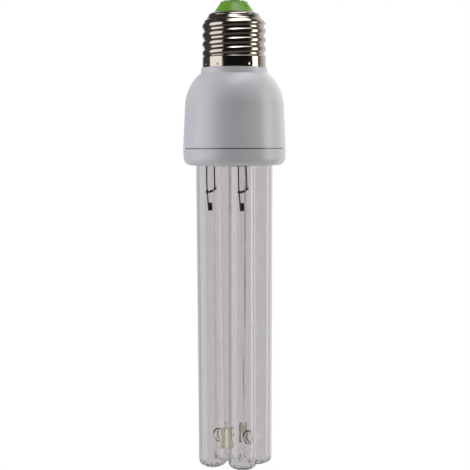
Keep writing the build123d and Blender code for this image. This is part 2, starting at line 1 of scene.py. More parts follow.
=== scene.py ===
"""The finished look of a germicidal lamp: quartz tubes, moulded housing and Edison screw cap.

Sizes in the classes below are millimetres, as a maker would write them, and become metres where a
mesh is made. Heights are taken from the lamp's origin, at the lower edge of the screw shell's skirt,
and depths are measured down from it. The lamp stands base up.
"""

from __future__ import annotations

import logging
import math
from dataclasses import dataclass, field
from enum import Enum
from typing import Callable, Iterable, Sequence

import bmesh
import bpy
from mathutils import Matrix, Vector, noise


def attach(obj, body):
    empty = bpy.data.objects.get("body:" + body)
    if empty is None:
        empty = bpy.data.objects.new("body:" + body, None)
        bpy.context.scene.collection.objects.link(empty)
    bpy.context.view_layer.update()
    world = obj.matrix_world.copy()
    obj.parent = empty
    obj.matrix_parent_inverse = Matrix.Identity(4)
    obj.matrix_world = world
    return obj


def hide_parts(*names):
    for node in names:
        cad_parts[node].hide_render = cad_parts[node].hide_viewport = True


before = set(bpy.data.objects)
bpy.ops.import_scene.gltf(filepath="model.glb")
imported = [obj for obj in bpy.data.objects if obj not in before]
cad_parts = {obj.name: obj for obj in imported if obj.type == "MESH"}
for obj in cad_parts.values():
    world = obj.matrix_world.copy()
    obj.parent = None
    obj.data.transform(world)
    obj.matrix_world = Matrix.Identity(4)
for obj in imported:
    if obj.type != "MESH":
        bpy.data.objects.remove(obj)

# Short names for the types that most signatures hold
Mesh = bpy.types.Mesh
Socket = bpy.types.NodeSocket
Tree = bpy.types.NodeTree
# A millimetre in metres, and the one body that every piece belongs to
MM = 0.001
BODY = "root"
log = logging.getLogger("lamp")


def linear(hex_colour: str, alpha: float = 1.0) -> tuple[float, float, float, float]:
    """Turns an sRGB hex colour into a linear one.

    Args:
        hex_colour: six hex digits, such as "c8c4bd".
        alpha: the fourth value.

    Returns:
        Linear red, green and blue, and alpha.
    """
    parts = [int(hex_colour[i : i + 2], 16) / 255 for i in (0, 2, 4)]
    red, green, blue = [p / 12.92 if p <= 0.04045 else ((p + 0.055) / 1.055) ** 2.4 for p in parts]
    return red, green, blue, alpha


def add_node(tree: Tree, kind: str, inputs: dict | None = None, **settings: object) -> bpy.types.Node:
    """Adds one node with its settings, values and links.

    Args:
        tree: the tree that gets the node.
        kind: the node's bl_idname.
        inputs: socket name or index to a value, or to an output socket to link.
        settings: the node's own properties.

    Returns:
        The new node.
    """
    node = tree.nodes.new(kind)
    for name, value in settings.items():
        setattr(node, name, value)
    for key, value in (inputs or {}).items():
        if isinstance(value, Socket):
            tree.links.new(value, node.inputs[key])
        else:
            node.inputs[key].default_value = value
    return node


def empty_tree(owner: bpy.types.ID) -> Tree:
    """Turns on the nodes of a material, a light or a world, and clears them."""
    owner.use_nodes = True
    owner.node_tree.nodes.clear()
    return owner.node_tree


class Direction(Enum):
    """Which way a surface's fine marks run, as the stretch of the pattern along X, Y and Z."""

    NONE = (1.0, 1.0, 1.0)
    AROUND = (0.06, 0.06, 1.0)
    UPRIGHT = (1.0, 1.0, 0.03)
    DRAWN = (1.0, 1.0, 0.004)


@dataclass(frozen=True)
class Ramp:
    """A level that changes steadily while a value runs from one end to another.

    Attributes:
        start: the value where the level starts to change.
        stop: the value where it stops.
        first: the level up to the start.
        last: the level past the stop.
    """

    start: float
    stop: float
    first: float
    last: float

    def inputs(self, value: Socket) -> dict[str, object]:
        """What the inputs of a Map Range node get, so that the level follows a value."""
        return {
            "Value": value,
            "From Min": self.start,
            "From Max": self.stop,
            "To Min": self.first,
            "To Max": self.last,
        }


# Between these lie most values of a noise texture
NOISE_LOW, NOISE_HIGH = 0.3, 0.7
# How wide a patch of duller surface is, and how deep the relief, as multiples of the grain's size
PATCH_GRAINS = 12
RELIEF_GRAINS = 0.1


@dataclass(frozen=True)
class Finish:
    """What every finish has: a name for the real material and process, and its fine relief.

    Attributes:
        name: the material's name.
        colour: the base colour as sRGB hex.
        roughness: how matt the surface is.
        grain_mm: the size of its fine relief.
        relief: how strongly the relief shows.
        direction: which way the relief runs.
        mottle: how far the roughness wanders from place to place.
    """

    name: str
    colour: str
    roughness: float
    grain_mm: float = 0.5
    relief: float = 0.05
    direction: Direction = Direction.NONE
    mottle: float = 0.05

    def shader_values(self, tree: Tree) -> dict[str, object]:
        """What the shader's inputs get, apart from the roughness and the relief."""
        return {"Base Color": linear(self.colour)}

    def surface(self, tree: Tree, body: Socket) -> Socket:
        """The shader that light meets, made from the shader of the solid itself."""
        return body

    def build(self) -> bpy.types.Material:
        """Makes the material with its noise-driven roughness and relief.

        Returns:
            The finished material.
        """
        material = bpy.data.materials.new(self.name)
        tree = empty_tree(material)
        place = add_node(tree, "ShaderNodeTexCoord").outputs["Object"]
        turned = add_node(
            tree, "ShaderNodeMapping", {"Vector": place, "Scale": self.direction.value}
        ).outputs["Vector"]
        grain = add_node(
            tree,
            "ShaderNodeTexNoise",
            {"Vector": turned, "Scale": 1 / (self.grain_mm * MM), "Detail": 3.0, "Roughness": 0.6},
        ).outputs["Fac"]
        patches = add_node(
            tree,
            "ShaderNodeTexNoise",
            {"Vector": place, "Scale": 1 / (PATCH_GRAINS * self.grain_mm * MM)},
        ).outputs["Fac"]
        smoothest = max(0.0, self.roughness - self.mottle)
        wander = Ramp(NOISE_LOW, NOISE_HIGH, smoothest, self.roughness + self.mottle)
        rough = add_node(tree, "ShaderNodeMapRange", wander.inputs(patches)).outputs["Result"]
        depth = RELIEF_GRAINS * self.grain_mm * MM
        bump = add_node(
            tree, "ShaderNodeBump", {"Height": grain, "Strength": self.relief, "Distance": depth}
        ).outputs["Normal"]
        values = {"Roughness": rough, "Normal": bump, **self.shader_values(tree)}
        body = add_node(tree, "ShaderNodeBsdfPrincipled", values).outputs["BSDF"]
        add_node(tree, "ShaderNodeOutputMaterial", {"Surface": self.surface(tree, body)})
        return material


@dataclass(frozen=True)
class Metal(Finish):
    """A bare or plated metal, at the default IOR."""

    def shader_values(self, tree: Tree) -> dict[str, object]:
        """What the shader's inputs get, apart from the roughness and the relief."""
        return {"Base Color": linear(self.colour), "Metallic": 1.0}


# Painted shade in narrow gaps: its dark colour, and how it fades by ambient occlusion from a nearly
# closed place to an open one
GAP_SHADE_COLOUR = "4a453f"
GAP_SHADE_FADE = Ramp(0.1, 0.6, 0.0, 1.0)


@dataclass(frozen=True)
class Moulding(Finish):
    """A moulded plastic or resin.

    Attributes:
        ior: its index of refraction.
        depth_mm: how far light wanders under the surface, or none.
        scatter: the share of the light that does, where some does.
        spread: how far its red, green and blue go, as shares of that depth.
        shade_gap_mm: how narrow a gap has to be for painted shade, from ambient occlusion, to darken it,
            or none.
    """

    ior: float = 1.5
    depth_mm: float = 0.0
    scatter: float = 0.3
    spread: tuple[float, float, float] = (1.0, 0.95, 0.9)
    shade_gap_mm: float = 0.0

    def shader_values(self, tree: Tree) -> dict[str, object]:
        """What the shader's inputs get, apart from the roughness and the relief.

        Args:
            tree: the material's tree.

        Returns:
            Input names to values and to sockets.
        """
        values = {"Base Color": linear(self.colour), "IOR": self.ior}
        # Painted shade: the base colour darkens in narrow gaps such as the housing's seam
        if self.shade_gap_mm:
            values["Base Color"] = self.shaded_gap_colour(tree)
        if self.depth_mm:
            values["Subsurface Weight"] = self.scatter
            values["Subsurface Radius"] = self.spread
            values["Subsurface Scale"] = self.depth_mm * MM
        return values

    def shaded_gap_colour(self, tree: Tree) -> Socket:
        """The base colour with painted shade: darker in narrow gaps, by ambient occlusion.

        Args:
            tree: the material's tree.

        Returns:
            The colour's socket.
        """
        near = {"Distance": self.shade_gap_mm * MM}
        # Painted shade: ambient occlusion mixes a dark colour into the base colour in narrow gaps
        opening = add_node(tree, "ShaderNodeAmbientOcclusion", near).outputs["AO"]
        unshaded = add_node(tree, "ShaderNodeMapRange", GAP_SHADE_FADE.inputs(opening)).outputs["Result"]
        colours = {"Factor": unshaded, "A": linear(GAP_SHADE_COLOUR), "B": linear(self.colour)}
        return add_node(tree, "ShaderNodeMix", colours, data_type="RGBA").outputs["Result"]


@dataclass(frozen=True)
class ClearBody(Finish):
    """A clear solid that light goes through.

    Attributes:
        ior: its index of refraction.
        clearness: the share of the light that is let through.
        shade: the colour of its shadow, as sRGB hex.
    """

    ior: float = 1.458
    clearness: float = 1.0
    shade: str = "f4f4f4"

    def shader_values(self, tree: Tree) -> dict[str, object]:
        """What the shader's inputs get, apart from the roughness and the relief."""
        return {
            "Base Color": linear(self.colour),
            "IOR": self.ior,
            "Transmission Weight": self.clearness,
        }

    def surface(self, tree: Tree, body: Socket) -> Socket:
        """Lets shadows and soft light pass straight through.

        Args:
            tree: the material's tree.
            body: the shader of the solid itself.

        Returns:
            The shader for every kind of ray.
        """
        rays = add_node(tree, "ShaderNodeLightPath").outputs
        soft = add_node(
            tree,
            "ShaderNodeMath",
            {0: rays["Is Shadow Ray"], 1: rays["Is Diffuse Ray"]},
            operation="MAXIMUM",
        ).outputs[0]
        shade = add_node(tree, "ShaderNodeBsdfTransparent", {"Color": linear(self.shade)}).outputs[0]
        return add_node(tree, "ShaderNodeMixShader", {0: soft, 1: body, 2: shade}).outputs[0]


@dataclass(frozen=True)
class FusedGlass(ClearBody):
    """Glass in several thin walls one behind another.

    Behind the first wall light is bent or sent back whole, and never split, so that tubes that stand
    behind each other stay clear and without grain.

    Attributes:
        tinted_walls: how many surfaces in a row tint the light.
        shut: a wall that would send back more than this share of the light sends back all of it.
    """

    tinted_walls: int = 4
    shut: float = 0.99

    def surface(self, tree: Tree, body: Socket) -> Socket:
        """Bends light at the walls behind the first, and mirrors it only where it can't get out.

        Args:
            tree: the material's tree.
            body: the shader of the first wall.

        Returns:
            The shader for every kind of ray.
        """
        depth = add_node(tree, "ShaderNodeLightPath").outputs["Transmission Depth"]
        red, green, blue, alpha = linear(self.colour)
        # Each wall has two surfaces, which share its tint
        half = (math.sqrt(red), math.sqrt(green), math.sqrt(blue), alpha)
        deep = add_node(
            tree, "ShaderNodeMath", {0: depth, 1: self.tinted_walls - 0.5}, operation="GREATER_THAN"
        ).outputs[0]
        tint = add_node(
            tree, "ShaderNodeMix", {"Factor": deep, "A": half, "B": (1, 1, 1, 1)}, data_type="RGBA"
        ).outputs["Result"]
        bend = {"Color": tint, "IOR": self.ior, "Roughness": self.roughness}
        bent = add_node(tree, "ShaderNodeBsdfRefraction", bend).outputs[0]
        turn = {"Color": tint, "Roughness": self.roughness}
        turned = add_node(tree, "ShaderNodeBsdfAnisotropic", turn).outputs[0]
        sent_back = add_node(tree, "ShaderNodeFresnel", {"IOR": self.ior}).outputs[0]
        trapped = add_node(
            tree, "ShaderNodeMath", {0: sent_back, 1: self.shut}, operation="GREATER_THAN"
        ).outputs[0]
        behind = add_node(tree, "ShaderNodeMixShader", {0: trapped, 1: bent, 2: turned}).outputs[0]
        later = add_node(
            tree, "ShaderNodeMath", {0: depth, 1: 0.5}, operation="GREATER_THAN"
        ).outputs[0]
        walls = add_node(tree, "ShaderNodeMixShader", {0: later, 1: body, 2: behind}).outputs[0]
        return super().surface(tree, walls)


# Nickel-plated brass, rolled: warm mirror-like plate with faint marks round it from the rollers
ROLLED_NICKEL = Metal("rolled_nickel_plate", "aea599", 0.14, 0.25, 0.12, Direction.AROUND, 0.04)
# Urea resin, moulded: saturated mid green, semi-gloss, with a slight waviness
GREEN_RESIN = Moulding("moulded_green_urea", "74b02f", 0.33, 0.8, 0.08, mottle=0.04)
# PBT, moulded in a spark-eroded tool: cool white with a very fine, even texture, and painted shade in
# its narrow gaps and seam
WHITE_PBT = Moulding(
    "moulded_white_pbt", "e3e2e7", 0.3, 0.35, 0.03, mottle=0.02, depth_mm=0.6, shade_gap_mm=0.8
)
# Fused quartz, drawn and fire polished: a smooth, faintly grey body with bright and dark edges
DRAWN_QUARTZ = FusedGlass("drawn_fused_quartz", "dad8d8", 0.0, 1.6, 0.0, Direction.DRAWN, 0.0)
# Silicone rubber, moulded between the tubes: cloudy, faintly yellow, with upright ripples
AMBER_SILICONE = ClearBody(
    "moulded_clear_silicone", "f3eddb", 0.25, 0.8, 0.8, Direction.UPRIGHT, ior=1.41, clearness=0.8
)
# Lamp cement, dried: chalky and slightly sandy
DRIED_CEMENT = Finish("dried_lamp_cement", "e0dcd0", 0.9, 0.3, 0.4)
# Nickel-iron wire, drawn and darkened by heat: near black, satin, with marks along it
DRAWN_WIRE = Metal("drawn_nickel_wire", "2e2b29", 0.38, 0.1, 0.1, Direction.UPRIGHT)
# Emitter oxides on a tungsten coil, dip coated: dull dark grey powder over metal
COATED_COIL = Finish("oxide_coated_coil", "4a4640", 0.8, 0.08, 0.3)
# Amalgam, cast: dull silver with a slightly wrinkled skin
CAST_AMALGAM = Metal("cast_amalgam", "a9a9ab", 0.35, 0.2, 0.2)
# Molybdenum foil, etched: dark satin grey
ETCHED_FOIL = Metal("etched_molybdenum_foil", "77767a", 0.4, 0.1, 0.1)
# Paper-phenolic laminate, punched: tan with fibrous flecks
PHENOLIC_BOARD = Moulding("punched_phenolic_board", "b58a4e", 0.5, 0.4, 0.1)
# PVC sleeve, shrunk on a can: dark blue-black with a soft sheen
SHRUNK_SLEEVE = Moulding("shrunk_pvc_sleeve", "20242d", 0.3, 0.8, 0.06)
# Ferrite, pressed and sintered: charcoal, slightly granular
SINTERED_FERRITE = Finish("sintered_ferrite", "34353a", 0.6, 0.2, 0.25)
# Glass-filled nylon, moulded: plain black
BLACK_NYLON = Moulding("moulded_black_nylon", "26262a", 0.5, 0.3, 0.1)
# Enamelled copper wire, wound: orange-brown metal under a clear coat
WOUND_COPPER = Metal("wound_enamelled_copper", "b4672e", 0.28, 0.35, 0.5, Direction.AROUND)
# Epoxy, dipped over a film capacitor: glossy brick red
DIPPED_EPOXY = Moulding("dipped_red_epoxy", "9a3a24", 0.2, 1.0, 0.1)
# Moulding compound, transfer moulded: matt black
BLACK_COMPOUND = Moulding("moulded_black_epoxy", "1d1d1f", 0.55, 0.15, 0.15)
# Lacquer over a ceramic rod: pale blue, slightly glossy
LACQUERED_ROD = Moulding("lacquered_ceramic_rod", "8fb0c4", 0.35, 0.5, 0.08)
# Copper wire, tinned: pale grey metal
TINNED_WIRE = Metal("tinned_copper_wire", "c2c2c4", 0.3, 0.1, 0.1, Direction.UPRIGHT)


class Mesher:
    """Makes plain mesh objects whose place is in the mesh."""

    @staticmethod
    def close(build: bmesh.types.BMesh, name: str) -> Mesh:
        """Turns what was built into a mesh of that name, and frees it."""
        mesh = bpy.data.meshes.new(name)
        build.to_mesh(mesh)
        build.free()
        return mesh

    @staticmethod
    def finish(
        name: str, mesh: Mesh, material: bpy.types.Material, sharp_deg: float = 40.0
    ) -> bpy.types.Object:
        """Smooths a mesh, gives it its material and puts it in the scene.

        Args:
            name: the piece's name.
            mesh: its mesh, in metres, where it belongs.
            material: its finish.
            sharp_deg: edges turned more than this stay sharp.

        Returns:
            The piece.
        """
        mesh.materials.clear()
        mesh.materials.append(material)
        mesh.polygons.foreach_set("material_index", [0] * len(mesh.polygons))
        mesh.shade_smooth()
        mesh.set_sharp_from_angle(angle=math.radians(sharp_deg))
        piece = bpy.data.objects.new(name, mesh)
        bpy.context.scene.collection.objects.link(piece)
        return piece

    @staticmethod
    def join(
        build: bmesh.types.BMesh,
        pairs: Iterable[tuple[Sequence[bmesh.types.BMVert], Sequence[bmesh.types.BMVert]]],
    ) -> None:
        """Adds the faces between pairs of closed rings.

        Args:
            build: the mesh that gets them.
            pairs: the rings, each with as many points.
        """
        for low, high in pairs:
            for i in range(len(low)):
                j = (i + 1) % len(low)
                build.faces.new((low[i], low[j], high[j], high[i]))

    @staticmethod
    def grid(rows: Sequence[Sequence[Vector]], name: str, closed_ends: bool = False) -> Mesh:
        """A surface through closed rings of points.

        Args:
            rows: the rings, each with as many points, in metres.
            name: the mesh's name.
            closed_ends: whether the last ring joins the first.

        Returns:
            The mesh, with its faces pointing outwards.
        """
        build = bmesh.new()
        rings = [[build.verts.new(point) for point in row] for row in rows]
        pairs = list(zip(rings, rings[1:]))
        if closed_ends:
            pairs.append((rings[-1], rings[0]))
        Mesher.join(build, pairs)
        bmesh.ops.recalc_face_normals(build, faces=build.faces)
        return Mesher.close(build, name)

    @staticmethod
    def lathe(
        profile: Sequence[tuple[float, float]], name: str, segments: int, place: Matrix
    ) -> Mesh:
        """A solid of revolution whose profile starts and ends on the axis.

        Args:
            profile: radius and height points in millimetres, from the lower pole to the upper.
            name: the mesh's name.
            segments: how many faces go round.
            place: where the solid's own axis lies, in metres.

        Returns:
            The closed mesh.
        """
        build = bmesh.new()
        poles = [build.verts.new(place @ Vector((0, 0, profile[i][1] * MM))) for i in (0, -1)]
        rings = []
        for radius, height in profile[1:-1]:
            ring = []
            for step in range(segments):
                angle = 2 * math.pi * step / segments
                x, y = radius * math.cos(angle), radius * math.sin(angle)
                ring.append(build.verts.new(place @ (Vector((x, y, height)) * MM)))
            rings.append(ring)
        Mesher.join(build, zip(rings, rings[1:]))
        for i in range(segments):
            j = (i + 1) % segments
            build.faces.new((poles[0], rings[0][j], rings[0][i]))
            build.faces.new((poles[1], rings[-1][i], rings[-1][j]))
        bmesh.ops.recalc_face_normals(build, faces=build.faces)
        return Mesher.close(build, name)

    @staticmethod
    def fused(meshes: Iterable[Mesh], name: str) -> Mesh:
        """Closed meshes joined into one skin.

        Args:
            meshes: the closed meshes.
            name: the result's name.

        Returns:
            The skin of all of them together.
        """
        first, *others = [bpy.data.objects.new(f"{name}_{i}", m) for i, m in enumerate(meshes)]
        scene = bpy.context.scene.collection
        scene.objects.link(first)
        for other in others:
            scene.objects.link(other)
            union = first.modifiers.new("union", "BOOLEAN")
            union.operation = "UNION"
            union.solver = "EXACT"
            union.object = other
        graph = bpy.context.evaluated_depsgraph_get()
        result = bpy.data.meshes.new_from_object(first.evaluated_get(graph), depsgraph=graph)
        result.name = name
        for piece in (first, *others):
            bpy.data.objects.remove(piece)
        return result


def soft_max(a: float, b: float, width: float) -> float:
    """The larger of two values, rounded where they are within a width of each other."""
    blend = max(0.0, width - abs(a - b)) / width
    return max(a, b) + blend * blend * width / 4


def soft_min(a: float, b: float, width: float) -> float:
    """The smaller of two values, rounded where they are within a width of each other."""
    return -soft_max(-a, -b, width)


def dress(finish: Finish, *nodes: str) -> None:
    """Gives CAD nodes their finish.

    Args:
        finish: the finish.
        nodes: the nodes' names.
    """
    material = finish.build()
    for node in nodes:
        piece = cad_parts[node]
        if not piece.data.materials:
            piece.data.materials.append(material)
        for slot in piece.material_slots:
            slot.link = "OBJECT"
            slot.material = material
        log.info("%s dressed as %s", node, finish.name)


@dataclass
class ScrewCap:
    """The cap: rolled screw shell, green insulator and centre contact.

    Attributes:
        skirt_radius: outside the plain skirt.
        skirt_height: where the skirt ends.
        edge_turn: how far the skirt's lower edge is turned in.
        edge_height: how high that turn is.
        step_drop: how far below the skirt's end the step to the thread starts.
        step_height: how high that step is.
        crest_radius: over the thread's crests.
        root_radius: in its roots.
        pitch: from crest to crest.
        thread_lead: how far below the skirt's end the thread starts.
        crest_height: a crest's height at the crest's bearing.
        crest_bearing: that bearing, in degrees.
        foot_blend: how softly the thread runs into the plain wall.
        wall: the sheet's thickness.
        shoulder_height: where the thread ends.
        shoulder_profile: heights and radii of the shoulder, the groove and the bead.
        top_blend: how softly the thread runs into the shoulder.
        shell_height: the shell's top.
        lip_radius: the hole in it.
        dimple_count: how many staking dimples there are.
        dimple_height: where they are.
        dimple_reach: the radius of one.
        dimple_depth: how deep it is.
        segments: how many faces go round.
        level_step: the height of a row of faces.
    """

    skirt_radius: float = 12.95
    skirt_height: float = 4.3
    edge_turn: float = 0.12
    edge_height: float = 0.2
    step_drop: float = 0.15
    step_height: float = 0.9
    crest_radius: float = 13.15
    root_radius: float = 12.25
    pitch: float = 25.4 / 7
    thread_lead: float = 0.2
    crest_height: float = 5.85
    crest_bearing: float = 207.5
    foot_blend: float = 0.25
    wall: float = 0.4
    shoulder_height: float = 18.6
    shoulder_profile: tuple[tuple[float, float], ...] = (
        (17.9, 13.0), (18.3, 12.75), (18.7, 12.45), (19.1, 12.15), (19.5, 11.67),
        (19.9, 11.2), (20.5, 10.85), (21.1, 10.5), (21.3, 10.4), (21.5, 10.42),
        (21.95, 10.0), (22.3, 9.3), (22.55, 8.75), (22.7, 8.3),
    )
    top_blend: float = 0.3
    shell_height: float = 22.7
    lip_radius: float = 8.1
    dimple_count: int = 12
    dimple_height: float = 1.2
    dimple_reach: float = 0.75
    dimple_depth: float = 0.2
    segments: int = 320
    level_step: float = 0.16

    def thread_radius(self, bearing: float, height: float) -> float:
        """The round thread's radius.

        Args:
            bearing: round the axis, in radians.
            height: above the skirt's edge.

        Returns:
            The radius there.
        """
        crest = math.radians(self.crest_bearing)
        crest += 2 * math.pi * (height - self.crest_height) / self.pitch
        wave = 0.5 + 0.5 * math.cos(crest - bearing)
        return self.root_radius + (self.crest_radius - self.root_radius) * wave

    def plain_radius(self, height: float) -> float:
        """The shell's radius without its thread: the skirt below, and the root above.

        Args:
            height: above the skirt's edge.

        Returns:
            The radius there.
        """
        edge = self.edge_turn * max(0.0, 1 - height / self.edge_height) ** 2
        step = (height - self.skirt_height + self.step_drop) / self.step_height
        step = min(1.0, max(0.0, step))
        ease = step * step * (3 - 2 * step)
        return self.skirt_radius - edge - ease * (self.skirt_radius - self.root_radius)

    def top_radius(self, height: float) -> float:
        """The radius that the shoulder, the groove and the bead allow.

        Args:
            height: above the skirt's edge.

        Returns:
            The radius there.
        """
        for (low, wide), (high, narrow) in zip(self.shoulder_profile, self.shoulder_profile[1:]):
            if height <= high:
                share = max(0.0, (height - low) / (high - low))
                return wide + share * (narrow - wide)
        return self.shoulder_profile[-1][1]

    def dimples(self, bearing: float, height: float) -> float:
        """How deep the staking dimples press the skirt in.

        Args:
            bearing: round the axis, in radians.
            height: above the skirt's edge.

        Returns:
            The depth there, which is none away from them.
        """
        step = 2 * math.pi / self.dimple_count
        offset = (bearing - math.radians(self.crest_bearing)) % step
        offset = min(offset, step - offset) * self.skirt_radius
        away = math.hypot(offset, height - self.dimple_height) / self.dimple_reach
        return self.dimple_depth * max(0.0, 1 - away * away) ** 2

    def outer_radius(self, bearing: float, height: float) -> float:
        """The shell's outer radius.

        Args:
            bearing: round the axis, in radians.
            height: above the skirt's edge.

        Returns:
            The radius there, with thread, shoulder and dimples.
        """
        barrel = self.plain_radius(height)
        if height >= self.skirt_height - self.thread_lead:
            barrel = soft_max(barrel, self.thread_radius(bearing, height), self.foot_blend)
        return soft_min(barrel, self.top_radius(height), self.top_blend) - self.dimples(bearing, height)

    def ring(self, radius_at: Callable[[float], float], height: float) -> list[Vector]:
        """A ring of points round the axis.

        Args:
            radius_at: the radius for each bearing in radians.
            height: the ring's height.

        Returns:
            The points, in metres.
        """
        points = []
        for step in range(self.segments):
            bearing = 2 * math.pi * step / self.segments
            radius = radius_at(bearing)
            points.append(Vector((radius * math.cos(bearing), radius * math.sin(bearing), height)) * MM)
        return points

    def build_shell(self) -> bpy.types.Object:
        """Makes the rolled shell with its thread, shoulder, bead and dimples.

        Returns:
            The piece that stands for the plainer solid.
        """
        count = round(self.shell_height / self.level_step)
        heights = [self.shell_height * step / count for step in range(count + 1)]
        rows = [self.ring(lambda b, h=h: self.outer_radius(b, h), h) for h in heights]
        bore = self.root_radius - self.wall
        inner = (
            (self.lip_radius, self.shell_height),
            (self.lip_radius, self.shell_height - self.wall),
            (bore, self.shoulder_height),
            (bore, self.skirt_height),
            (self.skirt_radius - self.wall, self.skirt_height),
            (self.skirt_radius - self.wall, 0.0),
        )
        for radius, height in inner:
            rows.append(self.ring(lambda b, r=radius: r, height))
        mesh = Mesher.grid(rows, "rolled_screw_shell", closed_ends=True)
        piece = Mesher.finish("rolled_screw_shell", mesh, ROLLED_NICKEL.build(), sharp_deg=55)
        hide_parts("screw_shell")
        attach(piece, BODY)
        return piece

    def build(self) -> None:
        """Makes the shell and dresses the insulator and the contact."""
        log.info("%s made", self.build_shell().name)
        dress(ROLLED_NICKEL, "centre_contact")
        dress(GREEN_RESIN, "cap_insulator")


@dataclass
class BallastHousing:
    """The moulded housing in two halves, and what holds the tubes in it."""

    def build(self) -> None:
        """Dresses the mouldings and the cement."""
        dress(WHITE_PBT, "upper_housing", "tube_holder")
        dress(DRIED_CEMENT, "tube_cement")


@dataclass
class QuartzTubes:
    """The fused quartz envelope with its pads, sealing foils and outer leads.

    Attributes:
        radius: outside a tube.
        wall: the thickness of its wall.
        dome_height: how high its rounded end is.
        corner_radius: between the end's flat middle and the wall.
        pitch_top: between the tubes' axes at their plain tops.
        pitch_bottom: between them at their ends.
        bottom_depth: the tubes' ends.
        sealed_top_depth: the tops of the tubes that hold an electrode.
        plain_top_depth: the tops of the others.
        electrode_depth: the middle of the electrodes.
        bridge_radius: outside a neck between two tubes.
        bridge_bore_radius: inside it.
        bridge_flare: how much wider it is where it runs into a tube.
        bridge_overlap: how far it reaches past the middle of the tube's wall.
        lower_bridge_depth: the two lower necks.
        upper_bridge_depth: the upper neck.
        pinch_size: a seal's width and thickness.
        pinch_top_depth: the seals' tops.
        ripple_height: how far above the rounded end the ripples fade out.
        ripple_size: how wide one is.
        inner_ripple: how deep they are inside.
        outer_ripple: how deep they are outside.
        segments: how many faces go round a tube.
        worked_rows: how many rows of faces the rippled part of its wall has.
        bridge_rows: how many a neck has.
        places: which way each tube stands from the lamp's axis, along X and Y.
        sealed: those of the tubes that hold an electrode.
    """

    radius: float = 5.7
    wall: float = 1.0
    dome_height: float = 3.5
    corner_radius: float = 2.6
    pitch_top: float = 14.75
    pitch_bottom: float = 13.35
    bottom_depth: float = 161.5
    sealed_top_depth: float = 29.0
    plain_top_depth: float = 25.5
    electrode_depth: float = 49.5
    bridge_radius: float = 2.9
    bridge_bore_radius: float = 2.2
    bridge_flare: float = 0.9
    bridge_overlap: float = 1.0
    lower_bridge_depth: float = 149.3
    upper_bridge_depth: float = 32.3
    pinch_size: tuple[float, float] = (8.5, 3.0)
    pinch_top_depth: float = 23.8
    ripple_height: float = 5.0
    ripple_size: float = 0.9
    inner_ripple: float = 0.45
    outer_ripple: float = 0.05
    segments: int = 96
    worked_rows: int = 8
    bridge_rows: int = 24
    places: tuple[tuple[int, int], ...] = ((-1, -1), (1, -1), (1, 1), (-1, 1))
    sealed: tuple[tuple[int, int], ...] = ((-1, -1), (1, -1))

    def point(self, tube: tuple[int, int], depth: float) -> Vector:
        """The point on a tube's leaning axis at a depth.

        Args:
            tube: the tube's place.
            depth: how deep the point is.

        Returns:
            The point, in millimetres.
        """
        share = (self.bottom_depth - depth) / (self.bottom_depth - self.plain_top_depth)
        offset = (self.pitch_bottom + share * (self.pitch_top - self.pitch_bottom)) / 2
        return Vector((tube[0] * offset, tube[1] * offset, -depth))

    def axis(self, start: Vector, end: Vector) -> Matrix:
        """The place, in metres, of a solid that is turned on a line from start to end."""
        turn = (end - start).to_track_quat("Z", "Y").to_matrix().to_4x4()
        return Matrix.Translation(start * MM) @ turn

    def dome(self, inset: float, steps: int = 9) -> list[tuple[float, float]]:
        """The flattened end's outline from its pole to the tube's wall.

        Args:
            inset: how far it is drawn in.
            steps: how many rows of faces its crown and its corner each have.

        Returns:
            Radius and height points.
        """
        corner = self.corner_radius - inset
        height = self.dome_height - inset
        side = self.radius - self.corner_radius
        crown = (height**2 + side**2 - corner**2) / (2 * (height - corner))
        meet = math.atan2(crown - height, side)
        points = []
        for step in range(steps):
            angle = -math.pi / 2 + (math.pi / 2 - meet) * step / steps
            points.append((crown * math.cos(angle), inset + crown + crown * math.sin(angle)))
        for step in range(steps + 1):
            angle = -meet * (1 - step / steps)
            points.append((side + corner * math.cos(angle), inset + height + corner * math.sin(angle)))
        return points

    def tube(self, tube: tuple[int, int], inset: float) -> Mesh:
        """One tube's closed form.

        Args:
            tube: the tube's place.
            inset: how far it is drawn in: nothing for its outside, and its wall for its inside.

        Returns:
            The closed mesh.
        """
        top_depth = self.sealed_top_depth if tube in self.sealed else self.plain_top_depth
        top = self.bottom_depth - top_depth - inset
        radius = self.radius - inset
        cone = self.dome_height - inset
        profile = self.dome(inset)
        for row in range(1, self.worked_rows + 1):
            profile.append((radius, self.dome_height + self.ripple_height * row / self.worked_rows))
        profile += [(radius, top - cone), (radius - cone, top), (0, top)]
        head = self.point(tube, self.plain_top_depth)
        place = self.axis(self.point(tube, self.bottom_depth), head)
        mesh = Mesher.lathe(profile, "tube", self.segments, place)
        if inset:
            self.ripple(mesh, self.inner_ripple)
        else:
            self.ripple(mesh, self.outer_ripple, highest=0.0)
        return mesh

    def ripple(self, mesh: Mesh, depth: float, highest: float = 1.0) -> None:
        """Ripples a tube's worked end, less and less towards the drawn wall above it.

        Args:
            mesh: the tube's closed form.
            depth: how deep the ripples are, in millimetres.
            highest: how far they may stand out of the wall, as a share of the depth.
        """
        build = bmesh.new()
        build.from_mesh(mesh)
        build.normal_update()
        for vert in build.verts:
            above = self.bottom_depth + vert.co.z / MM
            fade = max(0.0, 1 - above / (self.dome_height + self.ripple_height))
            wave = noise.noise(vert.co / (self.ripple_size * MM)) + highest - 1
            vert.co += vert.normal * (wave * fade * depth * MM)
        build.to_mesh(mesh)
        build.free()

